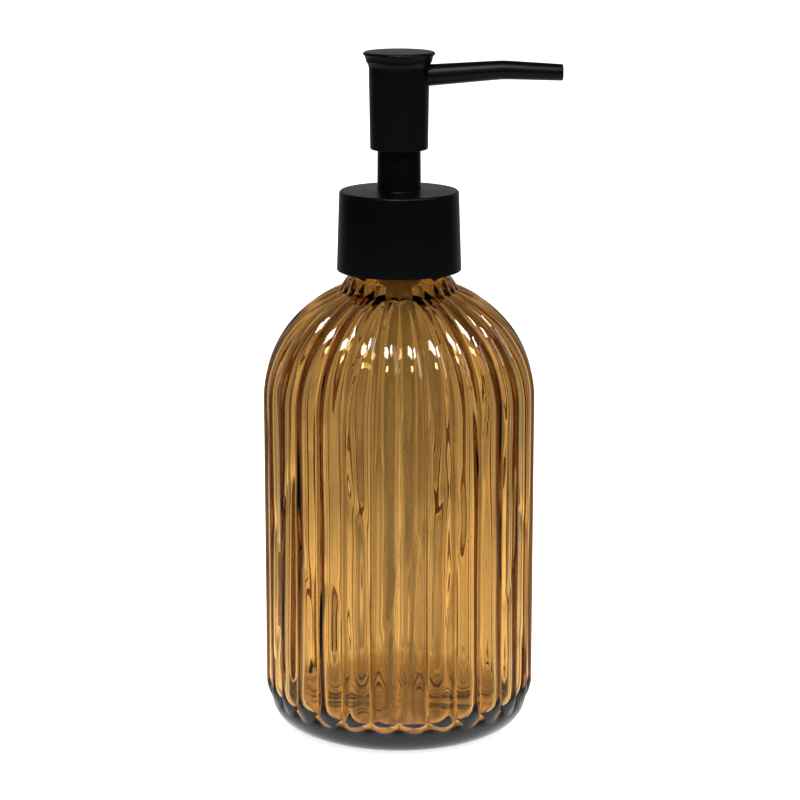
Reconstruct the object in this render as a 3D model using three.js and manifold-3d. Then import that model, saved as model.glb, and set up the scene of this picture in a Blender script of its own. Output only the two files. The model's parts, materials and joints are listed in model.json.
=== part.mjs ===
// Soap pump dispenser: a ribbed glass bottle and a screw-on lotion pump.
// Units are millimetres, +Z is up, the bottle's axis is the Z axis and the base rests on z = 0.

import * as THREE from 'three';
import { mergeVertices } from 'three/addons/utils/BufferGeometryUtils.js';
import Module from 'manifold-3d';

const wasm = await Module();
wasm.setup();

// ---- Bottle ----------------------------------------------------------------------------------

const BODY_RADIUS = 35.2;            // glass between the ribs
const RIB_COUNT = 28;
const RIB_HEIGHT = 1.5;              // at the body; it shrinks with the radius on the shoulder
const RIB_FOOT_Z = 12.5;             // where a rib starts to round off above the base
const RIB_FOOT_LENGTH = 5.6;
const RIB_TOP_RADIUS = 17.0;         // where a rib starts to round off below the neck
const RIB_TOP_LENGTH = 3.5;
const SHOULDER_Z = 91.4;
const SHOULDER_HEIGHT = 32.4;
const SHOULDER_POWER = 2.0;          // 2 is an ellipse, more is squarer
const BASE_RADIUS = 27.0;            // flat that the bottle rests on
const HEEL_HEIGHT = 7.7;
const WALL = 1.8;                    // glass between the ribs
const FLOOR = 5.5;
const FLOOR_CORNER = 8.0;
const NECK_BAND = 0.75;              // how far the plain band at the neck's foot stands out
const NECK_BAND_HEIGHT = 5.3;
const NECK_WALL = 3.55;

// ---- Screw thread, the same on the bottle and in the cap --------------------------------------

const NECK_HEIGHT = 16.2;            // from the shoulder's top to the lip
const NECK_RADIUS = 12.55;           // under the thread
const THREAD_DEPTH = 1.15;
const THREAD_CLEARANCE = 0.25;       // between a ridge's crest and the wall it faces
const THREAD_PITCH = 4.233;
const THREAD_TURNS = 1.25;
const THREAD_ROOT = 2.0;             // width of a ridge where it stands on its wall
const THREAD_CREST = 1.0;
const THREAD_START = 1.7;            // from the lip to the middle of the bottle's first ridge
const THREAD_FLANK_GAP = 0.3;        // between the two threads when the cap is tight

// ---- Clearances ------------------------------------------------------------------------------

const GAP = 0.3;                     // between pieces that fit into each other
const RUN = 0.15;                    // between a seal and the wall it slides on

// ---- Collar cover and screw cap ----------------------------------------------------------------

const COVER_DRAFT = 0.7;             // how much wider the cover is at its lower edge
const COVER_HEIGHT = 21.4;
const COVER_HEADROOM = 1.6;          // between the cap and the cover's top wall
const COVER_WALL = 1.1;
const COVER_TOP_WALL = 1.5;
const COVER_EDGE = 0.7;              // rounded top edge
const COVER_BEAD = 0.45;             // snap bead under the cap's lower edge
const CHIMNEY_DRAFT = 0.15;          // taken off the radius at its top
const CHIMNEY_WALL = 1.1;
const CHIMNEY_OVERLAP = 4.8;         // length inside the head when the head is up
const CAP_WEB = 1.3;
const CAP_WALL = 0.65;               // at the cap's top
const CAP_LIFT = 1.8;                // from the cover's lower edge to the cap's
const CAP_HOLE = 9.6;

// ---- Pump --------------------------------------------------------------------------------------

const STROKE = 10.5;
const LOST_MOTION = 1.2;             // stem travel before the piston follows it
const GASKET = 1.1;
const FLANGE = 1.2;
const BARREL_WALL = 1.0;
const BARREL_END_GAP = 0.75;         // under the piston rod when the head is right down
const CHAMBER_WALL = 0.9;            // of the narrower part that holds the spring
const CHAMBER_PLAY = 0.5;            // around the spring
const SOCKET_LENGTH = 7.0;
const SOCKET_WALL = 0.9;
const TUBE_RADIUS = 2.5;
const TUBE_BORE = 1.9;
const TUBE_FLOOR_GAP = 2.0;
const TUBE_CUT = 3.0;                // height of the slanting cut at its lower end
const CHAPLET_FLANGE = 1.8;
const CHAPLET_GUIDE_WALL = 1.0;      // of its tube above the flange
const CHAPLET_SLEEVE = 2.9;          // length below its flange
const CHAPLET_SLEEVE_WALL = 0.75;
const SEAL_HEIGHT = 1.2;
const STEM_RADIUS = 3.0;
const STEM_BORE = 1.75;
const PISTON_HEIGHT = 5.0;
const PISTON_HUB = 3.2;              // outside of the piston's hub
const PISTON_LIP = 0.7;
const PISTON_WAY = 0.65;             // gap around the rod that the soap passes
const STEM_WAY = 0.4;                // the same inside the stem
const ROD_FIN_WIDTH = 0.8;
const ROD_FIN_LENGTH = 8.0;
const POPPET_RADIUS = 3.1;
const POPPET_RIM = 0.5;
const POPPET_CONE = 1.1;
const SPIGOT_RADIUS = 1.2;
const SPIGOT_LENGTH = 3.0;
const SPRING_WIRE = 0.3;             // radius of the wire
const SPRING_RADIUS = 2.3;           // to the middle of the wire
const SPRING_TURNS = 8;
const SPRING_SPARE = 1.34;           // what is left between the coils when the head is right down
const SEAT_HEIGHT = 3.0;
const SEAT_WALL = 0.7;
const SEAT_HUB = 0.9;
const SEAT_BAR = 0.7;
const BALL_RADIUS = 1.6;
const BALL_LIFT = 1.2;

// ---- Head --------------------------------------------------------------------------------------

const HEAD_PLAY = 0.6;               // between the chimney's foot and the head
const HEAD_DRAFT = 0.35;             // how much wider the head is under its flare
const HEAD_BOTTOM_GAP = 0.5;         // over the cover when the head is right down
const HEAD_WALL = 1.25;
const FLARE = 1.5;                   // how far the top cap stands out over the head
const FLARE_HEIGHT = 3.0;
const CAP_DISC = 2.7;                // thickness of the top cap's disc
const CAP_EDGE = 0.8;
const CAP_DISH = 0.25;               // how far the disc's middle stands over its edge
const CAP_DISC_FLAT = 3.5;           // radius of the flat in the middle
const CAP_PLUG = 2.0;
const CAP_PLUG_WALL = 0.8;
const CORE_GRIP = 7.0;               // length of stem inside the core
const CORE_NECK = 2.25;              // from the stem's end to the core's disc
const CORE_CHANNEL = 1.7;
const CORE_DISC = 1.0;
const CORE_SADDLE = 0.5;             // between the disc and the spout's socket
const SPOUT_DROP = 6.5;              // from the head's top to the spout's axis at its root
const SPOUT_REACH = 43.2;            // from the pump's axis to the tip
const SPOUT_BEND_REACH = 29.2;
const SPOUT_BEND_RISE = 1.5;
const SPOUT_TIP_RISE = 0.9;
const SPOUT_ROOT_RADIUS = 2.9;
const SPOUT_TIP_RADIUS = 2.2;
const SPOUT_BORE = 1.3;
const SPOUT_EDGE = 0.5;
const SPOUT_PLUG_RADIUS = 1.9;
const SPOUT_PLUG_LENGTH = 4.0;

// ---- Roundness ---------------------------------------------------------------------------------

const STEPS_PER_RIB = 4;
const SIDES_LARGE = 36;
const SIDES_MIDDLE = 24;
const SIDES_SMALL = 16;
const SIDES_BORE = 10;
const THREAD_STEPS = 24;             // in one turn
const SPRING_STEPS = 10;             // in one turn

// ---- Heights and radii that follow from the sizes above ------------------------------------------

const NECK_ROOT_Z = SHOULDER_Z + SHOULDER_HEIGHT;
const NECK_ROOT_RADIUS = NECK_RADIUS + NECK_BAND;
const LIP_Z = NECK_ROOT_Z + NECK_HEIGHT;
const BORE_RADIUS = NECK_RADIUS - NECK_WALL;
const THREAD_RADIUS = NECK_RADIUS + THREAD_DEPTH;
const RIB_SIDES = RIB_COUNT * STEPS_PER_RIB;

const FLANGE_Z = LIP_Z + RUN + GASKET;
const FLANGE_TOP_Z = FLANGE_Z + FLANGE;
const FLANGE_RADIUS = NECK_RADIUS - RUN;
const CHAPLET_RADIUS = STEM_RADIUS + GAP + CHAPLET_GUIDE_WALL;
const BARREL_BORE = STEM_RADIUS + GAP + CHAPLET_SLEEVE_WALL + GAP;
const BARREL_RADIUS = BARREL_BORE + BARREL_WALL;
const CHAMBER_BORE = SPRING_RADIUS + SPRING_WIRE + CHAMBER_PLAY;
const CHAMBER_RADIUS = CHAMBER_BORE + CHAMBER_WALL;

const CAP_WEB_Z = FLANGE_TOP_Z + GAP;
const CAP_TOP_Z = CAP_WEB_Z + CAP_WEB;
const CHAPLET_TOP_Z = FLANGE_TOP_Z + CHAPLET_FLANGE;
const CAP_SKIRT_RADIUS = THREAD_RADIUS + THREAD_CLEARANCE;
const COVER_UNDER_Z = Math.max(CAP_TOP_Z, CHAPLET_TOP_Z) + COVER_HEADROOM;
const COVER_TOP_Z = COVER_UNDER_Z + COVER_TOP_WALL;
const COVER_TOP_RADIUS = CAP_SKIRT_RADIUS + CAP_WALL + GAP + COVER_WALL;
const COVER_BOTTOM_RADIUS = COVER_TOP_RADIUS + COVER_DRAFT;
const COVER_Z = COVER_TOP_Z - COVER_HEIGHT;
const CAP_Z = COVER_Z + CAP_LIFT;
const CHIMNEY_BORE = CHAPLET_RADIUS + GAP;
const CHIMNEY_TOP_RADIUS = CHIMNEY_BORE + CHIMNEY_WALL;
const CHIMNEY_RADIUS = CHIMNEY_TOP_RADIUS + CHIMNEY_DRAFT;
const CHIMNEY_TOP_Z = COVER_TOP_Z + HEAD_BOTTOM_GAP + STROKE + CHIMNEY_OVERLAP;

const SEAL_TOP_Z = FLANGE_TOP_Z - CHAPLET_SLEEVE - RUN;
const SEAL_Z = SEAL_TOP_Z - SEAL_HEIGHT;
const STEM_Z = SEAL_Z - GAP;
const ROD_RADIUS = STEM_BORE - STEM_WAY;
const ROD_FIN_RADIUS = STEM_BORE - RUN;
const PISTON_BORE = ROD_RADIUS + PISTON_WAY;
const PISTON_TOP_Z = STEM_Z - LOST_MOTION - RUN;
const PISTON_Z = PISTON_TOP_Z - PISTON_HEIGHT;
const POPPET_TOP_Z = PISTON_Z - RUN;
const POPPET_Z = POPPET_TOP_Z - POPPET_CONE - POPPET_RIM;
const ROD_TOP_Z = STEM_Z + ROD_FIN_LENGTH;
const BARREL_END_Z = POPPET_Z - STROKE - BARREL_END_GAP;
const SPRING_SOLID = (SPRING_TURNS + 1) * 2 * SPRING_WIRE;
const SEAT_TOP_Z = POPPET_Z - STROKE - SPRING_SOLID - SPRING_SPARE;
const SEAT_Z = SEAT_TOP_Z - SEAT_HEIGHT;
const SEAT_BORE = CHAMBER_BORE - GAP - SEAT_WALL;
const BALL_Z = SEAT_Z - GAP - BALL_LIFT - BALL_RADIUS;
const CHAMBER_END_Z = BALL_Z - RUN - BALL_RADIUS * Math.SQRT2;
const INLET_RADIUS = BALL_RADIUS * Math.SQRT1_2 - RUN;
const SOCKET_END_Z = CHAMBER_END_Z - SOCKET_LENGTH;

const HEAD_Z = COVER_TOP_Z + HEAD_BOTTOM_GAP + STROKE;
const HEAD_BOTTOM_RADIUS = CHIMNEY_RADIUS + HEAD_PLAY + HEAD_WALL;
const HEAD_TOP_RADIUS = HEAD_BOTTOM_RADIUS + HEAD_DRAFT;
const FLARE_RADIUS = HEAD_TOP_RADIUS + FLARE;
const CORE_RADIUS = CHIMNEY_BORE - GAP;
const CORE_DISC_Z = CHIMNEY_TOP_Z + STROKE + HEAD_BOTTOM_GAP;
const STEM_TOP_Z = CORE_DISC_Z - CORE_NECK;
const CORE_Z = STEM_TOP_Z - CORE_GRIP;
const SPOUT_Z = CORE_DISC_Z + CORE_DISC + CORE_SADDLE + GAP + SPOUT_PLUG_RADIUS;
const HEAD_TOP_Z = SPOUT_Z + SPOUT_DROP;
const CAP_UNDER_Z = HEAD_TOP_Z - CAP_DISH - CAP_DISC;
const SHELL_TOP_Z = CAP_UNDER_Z - RUN;
const CORE_TOP_Z = CAP_UNDER_Z - GAP;
const CHAPLET_TUBE_TOP_Z = CORE_Z - STROKE - HEAD_BOTTOM_GAP;

// ---- Colours -----------------------------------------------------------------------------------

function material(color, roughness, metalness) {
  return new THREE.MeshStandardMaterial({ color, roughness, metalness });
}

const amberGlass = material(0x96703a, 0.05, 0.0);
const blackPlastic = material(0x07070a, 0.42, 0.0);
const naturalPlastic = material(0xdcdad2, 0.35, 0.0);
const tubePlastic = material(0xe6e4da, 0.3, 0.0);
const springSteel = material(0xa8aaad, 0.25, 1.0);
const foam = material(0xefeeea, 0.85, 0.0);

// ---- Solids ------------------------------------------------------------------------------------

// A closed geometry as a manifold solid.
function solid(geometry) {
  const bare = geometry.clone();
  bare.deleteAttribute('normal');
  bare.deleteAttribute('uv');
  const welded = mergeVertices(bare, 1e-4);
  const mesh = new wasm.Mesh({
    numProp: 3,
    vertProperties: new Float32Array(welded.attributes.position.array),
    triVerts: new Uint32Array(welded.index.array),
  });
  mesh.merge();
  return new wasm.Manifold(mesh);
}

// A manifold solid as a geometry.
function shape(manifold) {
  const mesh = manifold.getMesh();
  const geometry = new THREE.BufferGeometry();
  geometry.setAttribute('position', new THREE.BufferAttribute(mesh.vertProperties, 3));
  geometry.setIndex(new THREE.BufferAttribute(mesh.triVerts, 1));
  return geometry;
}

// Points [radius, z] turned about the Z axis. The outline runs anticlockwise in the radius-z
// plane and either closes on itself or starts and ends on the axis.
function turned(outline, sides) {
  const points = outline.map(([radius, z]) => new THREE.Vector2(radius, z));
  const geometry = new THREE.LatheGeometry(points, sides);
  geometry.rotateX(Math.PI / 2);
  return geometry;
}

// A ring or tube: the outline is closed for the caller.
function ring(outline, sides) {
  return turned([...outline, outline[0]], sides);
}

// A plain tube between two heights.
function tube(inner, outer, low, high, sides) {
  return ring([[inner, low], [outer, low], [outer, high], [inner, high]], sides);
}

// A plain cylinder between two heights.
function rod(radius, low, high, sides) {
  return turned([[0, low], [radius, low], [radius, high], [0, high]], sides);
}

// A section swept through steps: place(x, y, t) puts the section's point (x, y) at t from 0 to 1.
function swept(section, steps, place) {
  const geometry = new THREE.ExtrudeGeometry(section, { depth: 1, steps, bevelEnabled: false });
  const position = geometry.attributes.position;
  for (let i = 0; i < position.count; i += 1) {
    const point = place(position.getX(i), position.getY(i), position.getZ(i));
    position.setXYZ(i, point.x, point.y, point.z);
  }
  return geometry;
}

// A quarter of an ellipse as [radius, z] points, without its first point.
function quarter(centre, radii, from, steps) {
  const points = [];
  for (let i = 1; i <= steps; i += 1) {
    const angle = from + (Math.PI / 2) * (i / steps);
    points.push([centre[0] + radii[0] * Math.cos(angle), centre[1] + radii[1] * Math.sin(angle)]);
  }
  return points;
}

function circle(radius, sides) {
  const outline = new THREE.Shape();
  for (let i = 0; i < sides; i += 1) {
    const angle = (2 * Math.PI * i) / sides;
    const x = radius * Math.cos(angle);
    const y = radius * Math.sin(angle);
    if (i === 0) {
      outline.moveTo(x, y);
    } else {
      outline.lineTo(x, y);
    }
  }
  outline.closePath();
  return outline;
}

// ---- Bottle ------------------------------------------------------------------------------------

// The shoulder is a dome: a superellipse from the body's radius up to the neck.
function shoulder(radius, height, steps, stopRadius) {
  const points = [];
  for (let i = 1; i <= steps; i += 1) {
    const angle = (Math.PI / 2) * (i / steps);
    const r = radius * Math.cos(angle) ** (2 / SHOULDER_POWER);
    const z = SHOULDER_Z + height * Math.sin(angle) ** (2 / SHOULDER_POWER);
    if (r > stopRadius) {
      points.push([r, z]);
    }
  }
  return points;
}

// Height of a rib at a point of the glass: across it, u runs from -1 to 1 between two grooves.
function ribRise(radius, z, u) {
  const foot = Math.max(0, (RIB_FOOT_Z - z) / RIB_FOOT_LENGTH);
  const top = Math.max(0, (RIB_TOP_RADIUS - radius) / RIB_TOP_LENGTH);
  const end = Math.max(foot, top);
  const scale = (radius / BODY_RADIUS) ** 0.6;
  return RIB_HEIGHT * scale * Math.max(0, 1 - u * u - end * end);
}

function bodyOutline() {
  const heelSize = [BODY_RADIUS - BASE_RADIUS, HEEL_HEIGHT];
  const heel = quarter([BASE_RADIUS, HEEL_HEIGHT], heelSize, -Math.PI / 2, 4);
  return [
    [0, 0],
    [BASE_RADIUS, 0],
    ...heel,
    [BODY_RADIUS, RIB_FOOT_Z],
    [BODY_RADIUS, SHOULDER_Z],
    ...shoulder(BODY_RADIUS, SHOULDER_HEIGHT, 12, NECK_ROOT_RADIUS),
    [NECK_ROOT_RADIUS, NECK_ROOT_Z],
    [0, NECK_ROOT_Z],
  ];
}

function ribbedBody() {
  const geometry = turned(bodyOutline(), RIB_SIDES);
  const position = geometry.attributes.position;
  const normal = geometry.attributes.normal;
  for (let i = 0; i < position.count; i += 1) {
    const x = position.getX(i);
    const y = position.getY(i);
    const z = position.getZ(i);
    const radius = Math.hypot(x, y);
    const step = Math.round((Math.atan2(y, x) / (2 * Math.PI)) * RIB_SIDES);
    const u = (((step % STEPS_PER_RIB) + STEPS_PER_RIB) % STEPS_PER_RIB) / (STEPS_PER_RIB / 2) - 1;
    const rise = ribRise(radius, z, u);
    position.setXYZ(
      i,
      x + rise * normal.getX(i),
      y + rise * normal.getY(i),
      z + rise * normal.getZ(i),
    );
  }
  return solid(geometry);
}

function bottleNeck() {
  const bandTop = NECK_ROOT_Z + NECK_BAND_HEIGHT;
  return solid(turned([
    [0, NECK_ROOT_Z - 2],
    [NECK_ROOT_RADIUS, NECK_ROOT_Z - 2],
    [NECK_ROOT_RADIUS, bandTop - 0.4],
    [NECK_ROOT_RADIUS - 0.4, bandTop],
    [NECK_RADIUS, bandTop],
    [NECK_RADIUS, LIP_Z - 0.5],
    [NECK_RADIUS - 0.5, LIP_Z],
    [0, LIP_Z],
  ], SIDES_LARGE));
}

function bottleCavity() {
  const inside = BODY_RADIUS - WALL;
  const cornerCentre = [inside - FLOOR_CORNER, FLOOR + FLOOR_CORNER];
  const corner = quarter(cornerCentre, [FLOOR_CORNER, FLOOR_CORNER], -Math.PI / 2, 4);
  return solid(turned([
    [0, FLOOR],
    [inside - FLOOR_CORNER, FLOOR],
    ...corner,
    [inside, SHOULDER_Z],
    ...shoulder(inside, SHOULDER_HEIGHT - WALL, 8, BORE_RADIUS),
    [BORE_RADIUS, NECK_ROOT_Z - WALL],
    [BORE_RADIUS, LIP_Z + 1],
    [0, LIP_Z + 1],
  ], SIDES_LARGE));
}

// A right-hand ridge on a wall: its section is x outwards from the axis and y along the axis.
function threadRidge(wall, crest, startZ) {
  const root = wall - Math.sign(crest - wall) * 0.35;
  const outline = new THREE.Shape([
    new THREE.Vector2(root, -THREAD_ROOT / 2),
    new THREE.Vector2(crest, -THREAD_CREST / 2),
    new THREE.Vector2(crest, THREAD_CREST / 2),
    new THREE.Vector2(root, THREAD_ROOT / 2),
  ]);
  const steps = Math.round(THREAD_TURNS * THREAD_STEPS);
  const geometry = swept(outline, steps, (x, y, t) => {
    const angle = -t * THREAD_TURNS * 2 * Math.PI;
    const ends = Math.min(1, t * 10, (1 - t) * 10);
    const radius = root + (x - root) * (0.35 + 0.65 * ends);
    return new THREE.Vector3(
      radius * Math.cos(angle),
      radius * Math.sin(angle),
      startZ + y - t * THREAD_TURNS * THREAD_PITCH,
    );
  });
  return solid(geometry);
}

function bottle() {
  const ridge = threadRidge(NECK_RADIUS, THREAD_RADIUS, LIP_Z - THREAD_START);
  return shape(ribbedBody().add(bottleNeck()).add(ridge).subtract(bottleCavity()));
}

// ---- Closure -----------------------------------------------------------------------------------

// Radius of the cover's outer face at a height: it widens towards its lower edge.
function coverRadius(z) {
  const t = (z - COVER_Z) / COVER_HEIGHT;
  return COVER_BOTTOM_RADIUS + (COVER_TOP_RADIUS - COVER_BOTTOM_RADIUS) * t;
}

function coverInside(z) {
  return coverRadius(z) - COVER_WALL;
}

function collarCover() {
  const beadLow = COVER_Z + 0.3;
  const beadHigh = CAP_Z - GAP;
  const edgeCentre = [COVER_TOP_RADIUS - COVER_EDGE, COVER_TOP_Z - COVER_EDGE];
  const edge = quarter(edgeCentre, [COVER_EDGE, COVER_EDGE], 0, 3);
  return ring([
    [coverInside(COVER_Z), COVER_Z],
    [COVER_BOTTOM_RADIUS - 0.2, COVER_Z],
    [COVER_BOTTOM_RADIUS, COVER_Z + 0.2],
    [COVER_TOP_RADIUS, COVER_TOP_Z - COVER_EDGE],
    ...edge,
    [CHIMNEY_RADIUS + 0.25, COVER_TOP_Z],
    [CHIMNEY_RADIUS, COVER_TOP_Z + 0.25],
    [CHIMNEY_TOP_RADIUS, CHIMNEY_TOP_Z - 0.3],
    [CHIMNEY_TOP_RADIUS - 0.3, CHIMNEY_TOP_Z],
    [CHIMNEY_BORE, CHIMNEY_TOP_Z],
    [CHIMNEY_BORE, COVER_UNDER_Z],
    [coverInside(COVER_UNDER_Z), COVER_UNDER_Z],
    [coverInside(beadHigh), beadHigh],
    [coverInside(beadHigh) - COVER_BEAD, (beadLow + beadHigh) / 2 + 0.2],
    [coverInside(beadHigh) - COVER_BEAD, (beadLow + beadHigh) / 2 - 0.2],
    [coverInside(beadLow), beadLow],
  ], SIDES_LARGE);
}

function screwCap() {
  const body = solid(ring([
    [CAP_SKIRT_RADIUS, CAP_Z],
    [coverInside(CAP_Z) - GAP, CAP_Z],
    [coverInside(CAP_TOP_Z) - GAP, CAP_TOP_Z - 0.4],
    [coverInside(CAP_TOP_Z) - GAP - 0.4, CAP_TOP_Z],
    [CAP_HOLE, CAP_TOP_Z],
    [CAP_HOLE, CAP_WEB_Z],
    [CAP_SKIRT_RADIUS, CAP_WEB_Z],
  ], SIDES_LARGE));
  const crest = NECK_RADIUS + (CAP_SKIRT_RADIUS - THREAD_RADIUS) + 0.1;
  const flanks = (THREAD_ROOT + THREAD_CREST) / 2;
  const startZ = LIP_Z - THREAD_START - flanks - THREAD_FLANK_GAP;
  return shape(body.add(threadRidge(CAP_SKIRT_RADIUS, crest, startZ)));
}

// ---- Pump --------------------------------------------------------------------------------------

function neckGasket() {
  return tube(BORE_RADIUS + GAP, FLANGE_RADIUS, LIP_Z + RUN, FLANGE_Z, SIDES_MIDDLE);
}

function pumpHousing() {
  const socketBore = TUBE_RADIUS + GAP;
  const socketRadius = socketBore + SOCKET_WALL;
  const socketTop = CHAMBER_END_Z - CHAMBER_WALL;
  return ring([
    [BARREL_BORE, FLANGE_TOP_Z],
    [BARREL_BORE, BARREL_END_Z + 1.25],
    [CHAMBER_BORE, BARREL_END_Z],
    [CHAMBER_BORE, CHAMBER_END_Z + CHAMBER_BORE],
    [INLET_RADIUS, CHAMBER_END_Z + INLET_RADIUS],
    [INLET_RADIUS, socketTop],
    [socketBore, socketTop],
    [socketBore, SOCKET_END_Z],
    [socketRadius, SOCKET_END_Z],
    [socketRadius, CHAMBER_END_Z],
    [CHAMBER_RADIUS, CHAMBER_END_Z + 0.5],
    [CHAMBER_RADIUS, BARREL_END_Z - 1.35],
    [BARREL_RADIUS, BARREL_END_Z],
    [BARREL_RADIUS, FLANGE_Z - 4],
    [BORE_RADIUS - GAP, FLANGE_Z - 3],
    [BORE_RADIUS - GAP, FLANGE_Z],
    [FLANGE_RADIUS, FLANGE_Z],
    [FLANGE_RADIUS, FLANGE_TOP_Z],
  ], SIDES_MIDDLE);
}

function dipTube() {
  const top = CHAMBER_END_Z - CHAMBER_WALL - RUN;
  const low = FLOOR + TUBE_FLOOR_GAP;
  const pipe = solid(tube(TUBE_BORE, TUBE_RADIUS, low, top, SIDES_SMALL));
  const wedge = new THREE.Shape([
    new THREE.Vector2(-TUBE_RADIUS - 1, low - 1),
    new THREE.Vector2(TUBE_RADIUS + 1, low - 1),
    new THREE.Vector2(TUBE_RADIUS + 1, low + TUBE_CUT + 1),
  ]);
  const cut = new THREE.ExtrudeGeometry(wedge, { depth: 4 * TUBE_RADIUS, bevelEnabled: false });
  cut.translate(0, 0, -2 * TUBE_RADIUS);
  cut.rotateX(Math.PI / 2);
  return shape(pipe.subtract(solid(cut)));
}

function chaplet() {
  const guide = STEM_RADIUS + GAP;
  const flangeRadius = CAP_HOLE - GAP;
  return ring([
    [guide, FLANGE_TOP_Z - CHAPLET_SLEEVE],
    [BARREL_BORE - GAP, FLANGE_TOP_Z - CHAPLET_SLEEVE],
    [BARREL_BORE - GAP, FLANGE_TOP_Z],
    [flangeRadius, FLANGE_TOP_Z],
    [flangeRadius, CHAPLET_TOP_Z],
    [CHAPLET_RADIUS, CHAPLET_TOP_Z],
    [CHAPLET_RADIUS, CHAPLET_TUBE_TOP_Z],
    [guide, CHAPLET_TUBE_TOP_Z],
  ], SIDES_MIDDLE);
}

function stemSeal() {
  return ring([
    [STEM_RADIUS + RUN, SEAL_Z],
    [STEM_RADIUS + 0.5, SEAL_Z],
    [BARREL_BORE - GAP, SEAL_TOP_Z - 0.4],
    [BARREL_BORE - GAP, SEAL_TOP_Z],
    [STEM_RADIUS + 0.5, SEAL_TOP_Z],
    [STEM_RADIUS + RUN, SEAL_TOP_Z - 0.5],
  ], SIDES_MIDDLE);
}

function stem() {
  return ring([
    [STEM_BORE, STEM_Z],
    [STEM_RADIUS - 0.3, STEM_Z],
    [STEM_RADIUS, STEM_Z + 0.3],
    [STEM_RADIUS, STEM_TOP_Z - 0.3],
    [STEM_RADIUS - 0.3, STEM_TOP_Z],
    [STEM_BORE, STEM_TOP_Z],
  ], SIDES_SMALL);
}

function pistonRod() {
  const shank = solid(turned([
    [0, POPPET_Z - SPIGOT_LENGTH],
    [SPIGOT_RADIUS - 0.4, POPPET_Z - SPIGOT_LENGTH],
    [SPIGOT_RADIUS, POPPET_Z - SPIGOT_LENGTH + 0.6],
    [SPIGOT_RADIUS, POPPET_Z],
    [POPPET_RADIUS, POPPET_Z],
    [POPPET_RADIUS, POPPET_Z + POPPET_RIM],
    [ROD_RADIUS, POPPET_TOP_Z],
    [ROD_RADIUS, STEM_Z + 1],
    [0, STEM_Z + 1],
  ], SIDES_SMALL));
  const fin = (width, depth) => {
    const box = new THREE.BoxGeometry(width, depth, ROD_TOP_Z - STEM_Z);
    box.translate(0, 0, (ROD_TOP_Z + STEM_Z) / 2);
    return solid(box);
  };
  const acrossFins = 2 * ROD_FIN_RADIUS;
  const cross = fin(acrossFins, ROD_FIN_WIDTH).add(fin(ROD_FIN_WIDTH, acrossFins));
  return shape(shank.add(cross));
}

function piston() {
  const wall = BARREL_BORE - RUN;
  const middle = (PISTON_Z + PISTON_TOP_Z) / 2;
  return ring([
    [PISTON_BORE, PISTON_Z],
    [PISTON_HUB - 0.4, PISTON_Z],
    [PISTON_HUB - 0.1, middle - 0.5],
    [wall - PISTON_LIP, PISTON_Z],
    [wall, PISTON_Z],
    [wall, PISTON_Z + 0.5],
    [wall - 0.3, middle],
    [wall, PISTON_TOP_Z - 0.5],
    [wall, PISTON_TOP_Z],
    [wall - PISTON_LIP, PISTON_TOP_Z],
    [PISTON_HUB - 0.1, middle + 0.5],
    [PISTON_HUB - 0.4, PISTON_TOP_Z],
    [PISTON_BORE, PISTON_TOP_Z],
  ], SIDES_SMALL);
}

function returnSpring() {
  const low = SEAT_TOP_Z + RUN + SPRING_WIRE;
  const high = POPPET_Z - RUN - SPRING_WIRE;
  return swept(circle(SPRING_WIRE, 5), SPRING_TURNS * SPRING_STEPS, (x, y, t) => {
    const angle = -t * SPRING_TURNS * 2 * Math.PI;
    const radius = SPRING_RADIUS + x;
    return new THREE.Vector3(
      radius * Math.cos(angle),
      radius * Math.sin(angle),
      high + (low - high) * t + y,
    );
  });
}

function springSeat() {
  const outer = CHAMBER_BORE - GAP;
  const rim = solid(tube(SEAT_BORE, outer, SEAT_Z, SEAT_TOP_Z, SIDES_SMALL));
  const hub = solid(rod(SEAT_HUB, SEAT_Z, SEAT_Z + SEAT_HEIGHT / 2, SIDES_SMALL));
  const bar = new THREE.BoxGeometry(2 * SEAT_BORE + 0.4, SEAT_BAR, SEAT_HEIGHT / 2);
  bar.translate(0, 0, SEAT_Z + SEAT_HEIGHT / 4);
  const crossBar = bar.clone().rotateZ(Math.PI / 2);
  return shape(rim.add(hub).add(solid(bar)).add(solid(crossBar)));
}

function inletBall() {
  const ball = new THREE.SphereGeometry(BALL_RADIUS, 12, 8);
  ball.rotateX(Math.PI / 2);
  ball.translate(0, 0, BALL_Z);
  return ball;
}

// ---- Head --------------------------------------------------------------------------------------

// Radius of the head's tapered barrel at a height.
function headRadius(z) {
  const t = (z - HEAD_Z) / (HEAD_TOP_Z - FLARE_HEIGHT - HEAD_Z);
  return HEAD_BOTTOM_RADIUS + (HEAD_TOP_RADIUS - HEAD_BOTTOM_RADIUS) * t;
}

// The spout's middle line: it leaves the head level, arches a little and droops to its tip.
const spoutLine = new THREE.CatmullRomCurve3([
  new THREE.Vector3(HEAD_TOP_RADIUS - HEAD_WALL, 0, SPOUT_Z),
  new THREE.Vector3((HEAD_TOP_RADIUS + SPOUT_BEND_REACH) / 2, 0, SPOUT_Z + SPOUT_BEND_RISE * 0.6),
  new THREE.Vector3(SPOUT_BEND_REACH, 0, SPOUT_Z + SPOUT_BEND_RISE),
  new THREE.Vector3(SPOUT_REACH, 0, SPOUT_Z + SPOUT_TIP_RISE),
], false, 'centripetal');

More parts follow.
